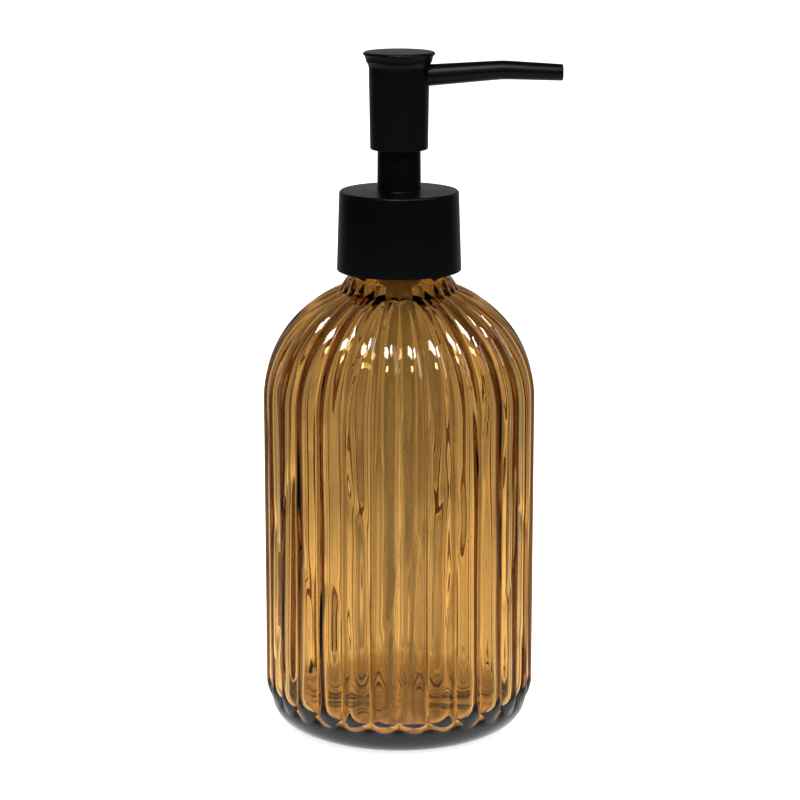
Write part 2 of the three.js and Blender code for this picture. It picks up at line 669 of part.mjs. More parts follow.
// A tube along the spout's middle line whose radius is given at each share of its length.
function alongSpout(radiusAt, from, to, steps, sides) {
  return solid(swept(circle(1, sides), steps, (x, y, t) => {
    const share = from + (to - from) * t;
    const centre = spoutLine.getPointAt(Math.min(share, 1));
    const forward = spoutLine.getTangentAt(Math.min(share, 1));
    const up = new THREE.Vector3(-forward.z, 0, forward.x);
    const radius = radiusAt(Math.min(share, 1));
    const past = Math.max(0, share - 1) * spoutLine.getLength();
    return centre
      .addScaledVector(forward, past)
      .addScaledVector(new THREE.Vector3(0, 1, 0), x * radius)
      .addScaledVector(up, y * radius);
  }));
}

// Share of the spout's length where its tip starts to round off.
const spoutEdge = 1 - SPOUT_EDGE / spoutLine.getLength();

// The spout tapers evenly, and its tip has a rounded edge.
function spoutRadius(share) {
  const taper = SPOUT_ROOT_RADIUS + (SPOUT_TIP_RADIUS - SPOUT_ROOT_RADIUS) * share;
  const past = Math.max(0, share - spoutEdge) / (1 - spoutEdge);
  return taper - SPOUT_EDGE * (1 - Math.sqrt(1 - Math.min(1, past) ** 2));
}

// A bar along +X at the spout's root height.
function crossRod(radius, fromX, toX, sides) {
  const bar = rod(radius, fromX, toX, sides);
  bar.rotateY(Math.PI / 2);
  bar.translate(0, 0, SPOUT_Z);
  return solid(bar);
}

function spout() {
  const outer = alongSpout(spoutRadius, 0, spoutEdge, 9, SIDES_SMALL);
  const lip = alongSpout(spoutRadius, spoutEdge, 1, 3, SIDES_SMALL);
  const plugEnd = CORE_RADIUS - GAP - 0.2;
  const plug = crossRod(SPOUT_PLUG_RADIUS, plugEnd - SPOUT_PLUG_LENGTH / 2, HEAD_TOP_RADIUS, SIDES_SMALL);
  const bore = alongSpout(() => SPOUT_BORE, 0, 1.02, 9, SIDES_BORE);
  const plugBore = crossRod(SPOUT_BORE, 0, HEAD_TOP_RADIUS - HEAD_WALL + 0.5, SIDES_BORE);
  return shape(outer.add(lip).add(plug).subtract(bore).subtract(plugBore));
}

function headShell() {
  const barrel = solid(ring([
    [headRadius(HEAD_Z) - HEAD_WALL + 0.2, HEAD_Z],
    [headRadius(HEAD_Z) - 0.3, HEAD_Z],
    [headRadius(HEAD_Z), HEAD_Z + 0.3],
    [headRadius(HEAD_TOP_Z - FLARE_HEIGHT - 1.6), HEAD_TOP_Z - FLARE_HEIGHT - 1.6],
    [headRadius(SHELL_TOP_Z) + 0.45, SHELL_TOP_Z],
    [headRadius(SHELL_TOP_Z) - HEAD_WALL, SHELL_TOP_Z],
    [headRadius(HEAD_Z + 3) - HEAD_WALL, HEAD_Z + 3],
  ], SIDES_LARGE));
  const opening = crossRod(SPOUT_ROOT_RADIUS + GAP / 2, CORE_RADIUS, FLARE_RADIUS + 2, SIDES_SMALL);
  return shape(barrel.subtract(opening));
}

function topCap() {
  const edgeTop = HEAD_TOP_Z - CAP_DISH;
  const plugOut = headRadius(SHELL_TOP_Z) - HEAD_WALL - GAP;
  const edge = quarter([FLARE_RADIUS - CAP_EDGE, edgeTop - CAP_EDGE], [CAP_EDGE, CAP_EDGE], 0, 3);
  const disc = solid(turned([
    [0, CAP_UNDER_Z],
    [plugOut - CAP_PLUG_WALL, CAP_UNDER_Z],
    [plugOut - CAP_PLUG_WALL, CAP_UNDER_Z - CAP_PLUG],
    [plugOut, CAP_UNDER_Z - CAP_PLUG],
    [plugOut, CAP_UNDER_Z],
    [headRadius(SHELL_TOP_Z) + 0.5, CAP_UNDER_Z],
    [FLARE_RADIUS, edgeTop - CAP_EDGE - 0.6],
    [FLARE_RADIUS, edgeTop - CAP_EDGE],
    ...edge,
    [CAP_DISC_FLAT, HEAD_TOP_Z],
    [0, HEAD_TOP_Z],
  ], SIDES_LARGE));
  const spoutWay = crossRod(SPOUT_ROOT_RADIUS + GAP, 0, FLARE_RADIUS + 2, SIDES_SMALL);
  return shape(disc.subtract(spoutWay));
}

function headCore() {
  const discRadius = headRadius(CORE_DISC_Z) - HEAD_WALL - GAP;
  const body = solid(ring([
    [STEM_RADIUS + GAP, CORE_Z],
    [CORE_RADIUS, CORE_Z],
    [CORE_RADIUS, CORE_DISC_Z],
    [discRadius, CORE_DISC_Z],
    [discRadius, CORE_DISC_Z + CORE_DISC],
    [CORE_RADIUS, CORE_DISC_Z + CORE_DISC],
    [CORE_RADIUS, CORE_TOP_Z],
    [CORE_CHANNEL, CORE_TOP_Z],
    [CORE_CHANNEL, STEM_TOP_Z + GAP],
    [STEM_RADIUS + GAP, STEM_TOP_Z + GAP],
  ], SIDES_MIDDLE));
  const roofZ = SPOUT_Z + SPOUT_PLUG_RADIUS + GAP + 0.2;
  const roof = solid(rod(CORE_CHANNEL + 0.5, roofZ, CORE_TOP_Z, SIDES_MIDDLE));
  const socket = crossRod(SPOUT_PLUG_RADIUS + GAP, 0, CORE_RADIUS + 1, SIDES_SMALL);
  return shape(body.add(roof).subtract(socket));
}

// ---- Assembly ----------------------------------------------------------------------------------

const dispenser = new THREE.Group();

function place(name, geometry, finish) {
  const mesh = new THREE.Mesh(geometry, finish);
  mesh.name = name;
  dispenser.add(mesh);
}

place('bottle', bottle(), amberGlass);
place('collar_cover', collarCover(), blackPlastic);
place('screw_cap', screwCap(), blackPlastic);
place('neck_gasket', neckGasket(), foam);
place('pump_housing', pumpHousing(), naturalPlastic);
place('dip_tube', dipTube(), tubePlastic);
place('chaplet', chaplet(), blackPlastic);
place('stem_seal', stemSeal(), tubePlastic);
place('stem', stem(), naturalPlastic);
place('piston_rod', pistonRod(), naturalPlastic);
place('piston', piston(), tubePlastic);
place('return_spring', returnSpring(), springSteel);
place('spring_seat', springSeat(), naturalPlastic);
place('inlet_ball', inletBall(), springSteel);
place('head_core', headCore(), blackPlastic);
place('head_shell', headShell(), blackPlastic);
place('top_cap', topCap(), blackPlastic);
place('spout', spout(), blackPlastic);

export default dispenser;
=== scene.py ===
"""Soap pump dispenser: visible pieces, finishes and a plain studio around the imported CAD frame.

Laid out as an add-on: the sizes and colours are properties, each piece has an operator, and a
panel lists them. main() makes the whole scene. Everything is in metres in the frame's axes.
"""

import json
import math

import bmesh
import bpy
from bpy.props import FloatProperty, FloatVectorProperty, IntProperty, PointerProperty
from mathutils import Euler, Matrix, Vector, noise


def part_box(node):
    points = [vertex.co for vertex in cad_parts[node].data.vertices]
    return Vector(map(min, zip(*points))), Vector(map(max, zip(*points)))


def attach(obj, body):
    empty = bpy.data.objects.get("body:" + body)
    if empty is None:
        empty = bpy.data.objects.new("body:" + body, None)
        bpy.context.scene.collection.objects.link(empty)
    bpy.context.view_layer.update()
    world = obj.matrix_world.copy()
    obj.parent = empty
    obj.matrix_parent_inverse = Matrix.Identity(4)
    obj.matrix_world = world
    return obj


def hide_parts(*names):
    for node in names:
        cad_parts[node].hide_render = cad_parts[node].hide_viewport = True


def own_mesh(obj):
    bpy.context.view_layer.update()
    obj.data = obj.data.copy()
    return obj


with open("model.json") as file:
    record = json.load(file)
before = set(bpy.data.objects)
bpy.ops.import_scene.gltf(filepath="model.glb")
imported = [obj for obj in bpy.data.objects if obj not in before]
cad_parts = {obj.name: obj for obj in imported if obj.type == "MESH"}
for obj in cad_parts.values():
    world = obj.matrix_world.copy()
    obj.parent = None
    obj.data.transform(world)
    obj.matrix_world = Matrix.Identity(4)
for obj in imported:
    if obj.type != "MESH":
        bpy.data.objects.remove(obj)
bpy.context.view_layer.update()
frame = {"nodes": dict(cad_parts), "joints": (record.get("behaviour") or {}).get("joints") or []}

bl_info = {
    "name": "Soap Pump Dispenser",
    "version": (1, 0, 0),
    "blender": (4, 5, 0),
    "location": "View3D > Sidebar > Dispenser",
    "description": "Ribbed amber glass bottle with a black screw-on lotion pump",
    "category": "Add Mesh",
}

MM = 0.001
TURN = 2 * math.pi
RIB_STEPS = 20             # faces across one rib
COIL_STEPS = 28            # faces along one turn of the spring
COVER_STEPS = 128          # faces around the collar cover,
HEAD_STEPS = 96            # the head and its cap,
PUMP_STEPS = 64            # the pump body,
TUBE_STEPS = 48            # the spout and the dip tube
WELD = 1e-7                # points closer than this are one
SMALL_EDGE = 0.3 * MM      # rounding of most moulded edges
LIP_EDGE = 0.7 * MM        # rounding of the bottle's lip
NECK_FILLET = 1.2 * MM     # rounding where the neck rises from the shoulder
THREAD_HALF = 1.0 * MM     # half of the screw ridge's width at its root
THREAD_FLANK = 0.5 * MM    # width of its sloping side
THREAD_RUN_IN = 10.0       # the ridge fades in and out over one turn divided by this

# How often the waves of the inner wall change: around the bottle, and along it in one metre.
SLOW_WAVES = (2.6, 14.0)
SMALL_WAVES = (6.5, 30.0)
FOLDS = (4.2, 22.0)
FOLD_SHARPNESS = 7.0
SLOW_SHARE = 1.4
SMALL_SHARE = 0.8

# Heights of a direction of view between which the studio's light changes; 1 is straight up.
OVERHEAD = (0.10, 0.55)
TABLE_EDGE = (-0.31, -0.23)
TABLE_MIRRORED = (-0.70, -0.22)
REAR = (0.45, 0.98)        # the same for directions that point to the rear

STRIPES = 6.0              # light and dark stripes around the object
STRIPE_SHAPE = 0.6         # under 1, the dark stripes are the narrow ones
CLOUDS = (0.55, 0.9)       # least brightness of the clouds, and what they add to it
FLOOR_RADIUS = 6.0

# Lamps: name, place, target, size, power and tint.
SHOULDER = (0.0, -0.01, 0.115)
WHITE = (1.0, 1.0, 1.0)
LAMPS = (
    ("top_window", (-0.10, -0.51, 0.93), SHOULDER, (0.46, 0.16), 6.6, WHITE),
    ("top_window_right", (0.42, -0.42, 0.90), SHOULDER, (0.18, 0.16), 2.6, WHITE),
    ("warm_lamp", (0.05, -0.69, 0.72), SHOULDER, (0.24, 0.09), 1.5, (1.0, 0.84, 0.42)),
    ("side_panel", (0.85, -0.35, 0.75), (0.0, 0.0, 0.15), (0.25, 0.45), 1.2, WHITE),
)


# ---- Places taken from the frame -----------------------------------------------------------------

BOXES = {node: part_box(node) for node in frame["nodes"]}


def low(node):
    """Lowest height of a CAD node."""
    return BOXES[node][0].z


def high(node):
    """Highest point of a CAD node."""
    return BOXES[node][1].z


def half_width(node):
    """Half of a CAD node's size along Y, which is its radius where it is round."""
    return (BOXES[node][1].y - BOXES[node][0].y) / 2


# ---- Sizes and colours ---------------------------------------------------------------------------

def length(name, description, millimetres):
    """A length property whose default is given in millimetres."""
    return FloatProperty(name=name, description=description, default=millimetres * MM,
                         min=0.0, unit="LENGTH", precision=5)


def colour(name, description, red, green, blue):
    """A linear colour property."""
    return FloatVectorProperty(name=name, description=description, subtype="COLOR",
                               default=(red, green, blue), min=0.0, max=1.0)


def share(name, description, default, largest=1.0):
    """A plain number property."""
    return FloatProperty(name=name, description=description, default=default,
                         min=0.0, max=largest, precision=4)


class BottleSizes(bpy.types.PropertyGroup):
    """The glass bottle."""
    body_radius: length("Body radius", "Glass between the ribs", 35.2)
    ribs: IntProperty(name="Ribs", description="Upright ribs around the bottle",
                      default=28, min=3)
    rib_height: length("Rib height", "How far a rib stands out on the body", 1.5)
    rib_foot: length("Rib foot", "Height where a rib starts to round off above the base", 12.5)
    rib_foot_length: length("Rib foot length", "Length of the rounded foot", 5.6)
    rib_top_radius: length("Rib top radius", "Radius where a rib starts to round off", 17.0)
    rib_top_length: length("Rib top length", "Length of the rounded top", 3.5)
    shoulder_z: length("Shoulder", "Height where the dome starts", 91.4)
    shoulder_height: length("Shoulder height", "Height of the dome", 32.4)
    shoulder_power: share("Shoulder power", "Squareness of the dome's curve", 2.0, 8.0)
    base_radius: length("Base radius", "Flat that the bottle rests on", 27.0)
    heel_height: length("Heel height", "Height of the rounded heel", 7.7)
    wall: length("Wall", "Glass between the ribs", 1.8)
    floor: length("Floor", "Thickness of the base", 5.5)
    floor_corner: length("Floor corner", "Rounding where the wall meets the floor", 8.0)
    neck_radius: length("Neck radius", "Under the thread", 12.55)
    neck_band: length("Neck band", "How far the plain band stands out", 0.75)
    neck_band_height: length("Neck band height", "Height of the plain band", 5.3)
    bore_radius: length("Bore radius", "Opening in the neck", 9.0)
    thread_depth: length("Thread depth", "Height of the screw ridge", 1.15)
    thread_pitch: length("Thread pitch", "Rise in one turn", 4.233)
    thread_start: length("Thread start", "From the lip to the first ridge", 1.7)
    thread_turns: share("Thread turns", "Length of the ridge in turns", 1.25, 4.0)
    unevenness: length("Unevenness", "Waves of the blown inner wall", 0.32)
    crease: length("Crease", "Fine folds of the blown inner wall", 0.14)
    echo: share("Rib echo", "How far the inner wall follows the ribs", 0.72)


class PumpSizes(bpy.types.PropertyGroup):
    """The pump's outside pieces."""
    cover_wall: length("Cover wall", "Side wall of the collar cover", 1.1)
    cover_edge: length("Cover edge", "Rounded top edge", 0.7)
    cover_top_wall: length("Cover top", "Top wall of the collar cover", 1.5)
    cover_draft: length("Cover draft", "How much wider the cover is at its lower edge", 0.7)
    cover_foot_edge: length("Cover foot edge", "Rounded lower edge", 0.25)
    chimney_shown: length("Chimney shown", "From the cover's top to the raised head", 11.0)
    chimney_clear: length("Chimney clear", "From the stem to the chimney's outside", 2.85)
    chimney_draft: length("Chimney draft", "Taper of the chimney", 0.15)
    chimney_wall: length("Chimney wall", "Wall of the chimney", 1.1)
    head_wall: length("Head wall", "Wall of the head", 1.25)
    head_draft: length("Head draft", "How much wider the head is under its flare", 0.35)
    flare_height: length("Flare height", "Height of the flared rim", 3.0)
    flare_reach: length("Flare reach", "How far the rim stands out past the head", 1.5)
    cap_seam: length("Cap seam", "Gap between the head's shell and its cap", 0.15)
    cap_plug: length("Cap plug", "Depth of the ring that snaps into the shell", 0.6)
    cap_edge: length("Cap edge", "Rounded edge of the top cap", 0.6)
    cap_dish: length("Cap crown", "How far the cap's middle stands over its edge", 0.25)
    spout_root: length("Spout root", "Radius where the spout leaves the head", 2.9)
    spout_tip: length("Spout tip", "Radius at the tip", 2.2)
    spout_bore: length("Spout bore", "Radius of the outlet", 1.3)
    spout_bend: length("Spout bend", "Distance of the bend from the pump's axis", 27.4)
    spout_drop: length("Spout drop", "From the head's top to the spout's axis", 6.5)
    spout_arch: length("Spout arch", "Rise at the bend", 1.45)
    spout_droop: length("Spout droop", "Rise at the tip", 0.75)
    spout_ease: length("Spout ease", "Softness of the bend", 1.0)
    spout_edge: length("Spout edge", "Rounding of the tip", 0.45)
    spout_chamfer: length("Spout chamfer", "Chamfer of the outlet", 0.2)
    mould_line: length("Mould line", "Height of the ridge where the mould halves met", 0.07)
    spring_radius: length("Spring radius", "To the middle of the wire", 2.3)
    spring_wire: length("Spring wire", "Radius of the wire", 0.3)
    spring_turns: IntProperty(name="Spring turns", description="Coils of the spring",
                              default=8, min=2)
    barrel_radius: length("Barrel radius", "Outside of the pump's barrel", 5.35)
    barrel_bore: length("Barrel bore", "Radius of the piston's bore", 4.35)
    barrel_step: length("Barrel step", "From the piston rod down to the barrel's step", 7.75)
    chamber_radius: length("Chamber radius", "Outside of the part that holds the spring", 4.0)
    chamber_bore: length("Chamber bore", "Radius around the spring", 3.1)
    valve_bore: length("Valve bore", "Radius of the foot valve's opening", 1.0)
    housing_collar: length("Housing collar", "Radius of the part that sits in the neck", 8.7)
    flange_height: length("Flange height", "Thickness of the flange on the neck", 1.2)
    tube_bore: length("Tube bore", "Inside radius of the dip tube", 1.9)
    tube_play: length("Tube play", "Gap around the dip tube in its socket", 0.3)
    tube_socket: length("Tube socket", "From the dip tube to the socket's outside", 1.2)


class Finishes(bpy.types.PropertyGroup):
    """Colours and surface values."""
    glass_absorb: colour("Glass", "Colour the glass lets through", 0.740, 0.560, 0.220)
    glass_density: share("Glass density", "Absorption in one metre", 290.0, 5000.0)
    glass_skin: colour("Glass skin", "Colour that each face of the glass lets through",
                       0.83, 0.68, 0.42)
    plastic: colour("Black plastic", "Moulded outside pieces", 0.0008, 0.0009, 0.0012)
    natural: colour("Natural plastic", "Pump body and stem", 0.62, 0.60, 0.54)
    tubing: colour("Tubing", "Dip tube, piston and seals", 0.70, 0.69, 0.64)
    foam: colour("Foam", "Neck washer", 0.78, 0.77, 0.73)
    steel: colour("Steel", "Spring and ball", 0.60, 0.61, 0.63)


class StudioValues(bpy.types.PropertyGroup):
    """Camera, floor and light."""
    distance: FloatProperty(name="Camera distance", description="From the bottle's axis",
                            default=0.700, unit="LENGTH")
    height: FloatProperty(name="Camera height", description="Above the floor",
                          default=0.251, unit="LENGTH")
    tilt: FloatProperty(name="Camera tilt", description="Looking down from level",
                        default=math.radians(12.952), subtype="ANGLE")
    lens: FloatProperty(name="Lens", description="Focal length in millimetres", default=119.26)
    offset: FloatProperty(name="Camera offset", description="To the right of the bottle's axis",
                          default=0.00024, unit="LENGTH", precision=5)
    field_light: share("Field light", "Brightest light seen through the glass", 1.08, 10.0)
    flag_light: share("Flag light", "Darkest light seen through the glass", 0.33, 10.0)
    overhead_share: share("Overhead share", "How much of that light is left overhead", 0.28)
    table_share: share("Table share", "How much brighter that light is below", 2.05, 10.0)
    room_light: share("Room light", "Light in reflections", 0.03, 10.0)
    rear_light: share("Rear light", "Light in grazing reflections", 0.35, 10.0)
    table_light: share("Table light", "Light in reflections that look down", 1.15, 10.0)
    floor_light: share("Floor light", "Sky light that falls on matt surfaces", 0.80, 10.0)
    floor_glow: share("Floor glow", "Light of the floor itself", 0.85, 10.0)
    floor_colour: colour("Floor", "Pale floor", 0.90, 0.90, 0.90)
    backdrop: colour("Backdrop", "Pale surroundings", 1.0, 1.0, 1.0)


# ---- Mesh helpers --------------------------------------------------------------------------------

def finish_mesh(mesh_data, name, body, nodes, material, sharp_angle=35.0):
    """Turn a bmesh into a named object that rides on a body and stands for CAD nodes."""
    bmesh.ops.recalc_face_normals(mesh_data, faces=mesh_data.faces)
    for face in mesh_data.faces:
        face.smooth = True
    limit = math.radians(sharp_angle)
    for edge in mesh_data.edges:
        if len(edge.link_faces) == 2 and edge.calc_face_angle(0.0) > limit:
            edge.smooth = False
    mesh = bpy.data.meshes.new(name)
    mesh_data.to_mesh(mesh)
    mesh_data.free()
    piece = bpy.data.objects.new(name, mesh)
    bpy.context.scene.collection.objects.link(piece)
    mesh.materials.append(material)
    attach(piece, body)
    if nodes:
        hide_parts(*nodes)
    return piece


def outline_to_bmesh(points, closed):
    """A bmesh with one chain of edges through [radius, z] points in the XZ plane."""
    bm = bmesh.new()
    chain = [bm.verts.new((radius, 0.0, z)) for radius, z in points]
    pairs = list(zip(chain, chain[1:]))
    if closed:
        pairs.append((chain[-1], chain[0]))
    for start, end in pairs:
        bm.edges.new((start, end))
    return bm


def spin_outline(points, steps, closed=True):
    """Turn an outline about the Z axis into a closed shell."""
    bm = outline_to_bmesh(points, closed)
    bmesh.ops.spin(bm, geom=bm.verts[:] + bm.edges[:], cent=(0, 0, 0), axis=(0, 0, 1),
                   dvec=(0, 0, 0), angle=TURN, steps=steps, use_merge=True)
    bmesh.ops.remove_doubles(bm, verts=bm.verts, dist=WELD)
    return bm


def arc(centre, radii, start, end, steps):
    """Points on an ellipse's arc as [radius, z]; angles in degrees, both ends included."""
    points = []
    for i in range(steps + 1):
        angle = math.radians(start + (end - start) * i / steps)
        points.append((centre[0] + radii[0] * math.cos(angle),
                       centre[1] + radii[1] * math.sin(angle)))
    return points


def straight(start, end, steps):
    """Points between two outline points, without the first."""
    return [(start[0] + (end[0] - start[0]) * i / steps,
             start[1] + (end[1] - start[1]) * i / steps) for i in range(1, steps + 1)]


# ---- Shader helpers ------------------------------------------------------------------------------

class Signal:
    """A node socket that adds Math nodes when it is used in an expression."""

    def __init__(self, network, socket):
        self.network = network
        self.socket = socket

    def math(self, operation, *values):
        return self.network.node("ShaderNodeMath", {"operation": operation},
                                 dict(enumerate((self,) + values)))

    def __add__(self, other):
        return self.math("ADD", other)

    def __radd__(self, other):
        return self.math("ADD", other)

    def __rsub__(self, other):
        return self.network.node("ShaderNodeMath", {"operation": "SUBTRACT"}, {0: other, 1: self})

    def __mul__(self, other):
        return self.math("MULTIPLY", other)

    def __rmul__(self, other):
        return self.math("MULTIPLY", other)

    def __pow__(self, other):
        return self.math("POWER", other)


class Network:
    """A node tree whose nodes are added one by one."""

    def __init__(self, tree):
        self.nodes = tree.nodes
        self.links = tree.links
        self.nodes.clear()

    def node(self, kind, settings=None, sockets=None, output=0):
        """Add a node: settings first, then socket values or links."""
        made = self.nodes.new(kind)
        for key, value in (settings or {}).items():
            setattr(made, key, value)
        for key, value in (sockets or {}).items():
            if isinstance(value, Signal):
                self.links.new(value.socket, made.inputs[key])
            else:
                made.inputs[key].default_value = value
        return Signal(self, made.outputs[output])

    def mix(self, factor, first, second):
        """Mix two colours."""
        colours = [value if isinstance(value, Signal) else (*value[:3], 1.0)
                   for value in (first, second)]
        return self.node("ShaderNodeMix", {"data_type": "RGBA"},
                         {0: factor, 6: colours[0], 7: colours[1]}, output=2)

    def ramp(self, value, start, end, first, last):
        """A number that eases from first to last as a value goes from start to end."""
        return self.node("ShaderNodeMapRange", {"interpolation_type": "SMOOTHSTEP"},
                         {"Value": value, "From Min": start, "From Max": end,
                          "To Min": first, "To Max": last})


class Finish(Network):
    """A material built around one main shader."""

    def __init__(self, name):
        self.material = bpy.data.materials.new(name)
        self.material.use_nodes = True
        super().__init__(self.material.node_tree)
        self.output = self.nodes.new("ShaderNodeOutputMaterial")
        self.shader = self.nodes.new("ShaderNodeBsdfPrincipled")
        self.links.new(self.shader.outputs[0], self.output.inputs["Surface"])

    def set(self, **values):
        """Set or link sockets of the main shader; underscores stand for spaces."""
        for key, value in values.items():
            socket = self.shader.inputs[key.replace("_", " ")]
            if isinstance(value, Signal):
                self.links.new(value.socket, socket)
            else:
                socket.default_value = value

    def noise(self, scale, detail, stretch=(1.0, 1.0, 1.0), roughness=0.5):
        """Noise on object coordinates; scale counts features in one metre."""
        place = self.node("ShaderNodeTexCoord", output=3)
        stretched = self.node("ShaderNodeMapping", None, {"Vector": place, "Scale": stretch})
        return self.node("ShaderNodeTexNoise", None,
                         {"Vector": stretched, "Scale": scale, "Detail": detail,
                          "Roughness": roughness})

    def bump(self, height, distance, strength=1.0):
        return self.node("ShaderNodeBump", None,
                         {"Height": height, "Distance": distance, "Strength": strength})


def scaled(value, factor):
    """A colour made lighter or darker."""
    return tuple(min(1.0, part * factor) for part in value[:3])


# ---- Finishes ------------------------------------------------------------------------------------

def amber_glass(finishes):
    """Clear amber glass: each face tints it, thickness darkens it, and it has faint ripples."""
    made = Finish("amber_glass")
    made.set(Base_Color=(*finishes.glass_skin, 1.0))
    made.set(Transmission_Weight=1.0, IOR=1.51, Roughness=0.0)
    ripple = made.noise(90.0, 2.0, (1.0, 1.0, 0.25))
    made.set(Normal=made.bump(ripple, 0.00010, 0.35))
    inside = made.nodes.new("ShaderNodeVolumeAbsorption")
    inside.inputs["Color"].default_value = (*finishes.glass_absorb, 1.0)
    inside.inputs["Density"].default_value = finishes.glass_density
    made.links.new(inside.outputs[0], made.output.inputs["Volume"])
    return made.material


def moulded_plastic(name, base, roughness, grain):
    """Moulded plastic: fine grain, slow changes of gloss and faint handling marks."""
    made = Finish(name)
    cloud = made.noise(60.0, 3.0)
    fine = made.noise(grain, 2.0, roughness=0.6)
    marks = made.noise(420.0, 4.0, (1.0, 1.0, 0.15))
    made.set(Base_Color=made.mix(cloud, scaled(base, 0.82), scaled(base, 1.25)))
    made.set(Roughness=(roughness - 0.06) + 0.08 * cloud + 0.05 * (marks ** 3.0))
    made.set(Normal=made.bump(fine, 0.00002, 0.5))
    made.set(IOR=1.49, Specular_IOR_Level=0.12)
    return made.material


def cloudy_plastic(name, base, roughness):
    """Natural unpigmented plastic: light goes a little way in, with faint clouds."""
    made = Finish(name)
    cloud = made.noise(180.0, 3.0, (1.0, 1.0, 0.4))
    flow = made.noise(700.0, 2.0, (1.0, 1.0, 0.08))
    made.set(Base_Color=made.mix(cloud, scaled(base, 0.90), scaled(base, 1.08)))
    made.set(Roughness=(roughness - 0.05) + 0.10 * flow)
    made.set(Normal=made.bump(flow, 0.00003, 0.4))
    made.set(Subsurface_Weight=0.25, Subsurface_Scale=0.002, IOR=1.50)
    return made.material


def foam_washer(base):
    """Closed-cell foam."""
    made = Finish("foam_washer")
    cells = made.node("ShaderNodeTexVoronoi", None,
                      {"Vector": made.node("ShaderNodeTexCoord", output=3), "Scale": 2600.0})
    made.set(Base_Color=made.mix(cells, scaled(base, 0.8), base))
    made.set(Roughness=0.88, Normal=made.bump(cells, 0.00006, 0.8))
    return made.material


def drawn_steel(name, base, roughness):
    """Bright stainless wire with fine drawing lines."""
    made = Finish(name)
    lines = made.noise(2500.0, 2.0, (1.0, 1.0, 0.1))
    made.set(Base_Color=made.mix(lines, scaled(base, 0.85), scaled(base, 1.1)))
    made.set(Metallic=1.0, Roughness=(roughness - 0.04) + 0.10 * lines)
    made.set(Normal=made.bump(lines, 0.00001, 0.4))
    return made.material


def get_finish(name):
    """The finished material of that name, made on first use."""
    found = bpy.data.materials.get(name)
    if found and found.get("dispenser_finish"):
        return found
    look = bpy.context.scene.dispenser_finishes
    makers = {
        "amber_glass": lambda: amber_glass(look),
        "satin_black": lambda: moulded_plastic("satin_black", look.plastic, 0.35, 2600.0),
        "natural_plastic": lambda: cloudy_plastic("natural_plastic", look.natural, 0.42),
        "soft_plastic": lambda: cloudy_plastic("soft_plastic", look.tubing, 0.34),
        "foam_washer": lambda: foam_washer(look.foam),
        "spring_wire": lambda: drawn_steel("spring_wire", look.steel, 0.28),
        "ball_polish": lambda: drawn_steel("ball_polish", look.steel, 0.14),
    }
    made = makers[name]()
    made["dispenser_finish"] = True
    return made


# ---- Bottle --------------------------------------------------------------------------------------

def dome(sizes, radius, height, steps, stop):
    """The shoulder's curve, from the body's radius up to a stop radius."""
    power = 2.0 / sizes.shoulder_power
    points = []
    for i in range(1, steps + 1):
        angle = (math.pi / 2) * i / steps
        r = radius * math.cos(angle) ** power
        if r <= stop:
            break
        points.append((r, sizes.shoulder_z + height * math.sin(angle) ** power))
    return points


def outer_outline(sizes):
    """Outside of the glass from the middle of the base to the lip, between the ribs."""
    body = sizes.body_radius
    heel_size = (body - sizes.base_radius, sizes.heel_height)
    root_z = sizes.shoulder_z + sizes.shoulder_height
    band = sizes.neck_radius + sizes.neck_band
    band_top = root_z + sizes.neck_band_height
    lip = high("bottle")
    points = [(0.0, 0.0)]
    points += straight((0.0, 0.0), (sizes.base_radius, 0.0), 3)
    points += arc((sizes.base_radius, sizes.heel_height), heel_size, -90, 0, 14)[1:]
    points += straight((body, sizes.heel_height), (body, sizes.rib_foot), 6)
    points += straight((body, sizes.rib_foot), (body, sizes.shoulder_z), 4)
    points += dome(sizes, body, sizes.shoulder_height, 38, band + 0.9 * MM)
    points += arc((band + NECK_FILLET, root_z + NECK_FILLET), (NECK_FILLET, NECK_FILLET),
                  250, 180, 5)
    points += [(band, band_top - 0.5 * MM), (band - 0.15 * MM, band_top - 0.15 * MM),
               (band - 0.5 * MM, band_top)]
    points += [(sizes.neck_radius, band_top + 0.1 * MM)]
    points += straight(points[-1], (sizes.neck_radius, lip - LIP_EDGE), 20)
    points += arc((sizes.neck_radius - LIP_EDGE, lip - LIP_EDGE), (LIP_EDGE, LIP_EDGE),
                  0, 90, 4)[1:]
    return points


def inner_outline(sizes):
    """Inside of the glass from the lip down to the middle of the floor."""
    inside = sizes.body_radius - sizes.wall
    lip = high("bottle")
    corner = sizes.floor_corner
    throat_z = sizes.shoulder_z + sizes.shoulder_height - sizes.wall
    points = [(sizes.bore_radius + 0.5 * MM, lip), (sizes.bore_radius, lip - 0.5 * MM)]
    points += straight(points[-1], (sizes.bore_radius, throat_z + 1.5 * MM), 4)
    points += dome(sizes, inside, sizes.shoulder_height - sizes.wall, 26,
                   sizes.bore_radius + 1.0 * MM)[::-1]
    points += [(inside, sizes.shoulder_z)]
    points += straight(points[-1], (inside, sizes.floor + corner), 36)
    points += arc((inside - corner, sizes.floor + corner), (corner, corner), 0, -90, 8)[1:]
    points += straight(points[-1], (0.0, sizes.floor), 6)
    return points


def rib_rise(sizes, radius, z, angle):
    """Height of the ribs at a point on the outside."""
    position = angle / TURN * sizes.ribs
    u = 2.0 * (position - math.floor(position)) - 1.0
    foot = max(0.0, (sizes.rib_foot - z) / sizes.rib_foot_length)
    top = max(0.0, (sizes.rib_top_radius - radius) / sizes.rib_top_length)
    end = max(foot, top)
    scale = (radius / sizes.body_radius) ** 0.6
    return sizes.rib_height * scale * max(0.0, 1.0 - u * u - end * end)


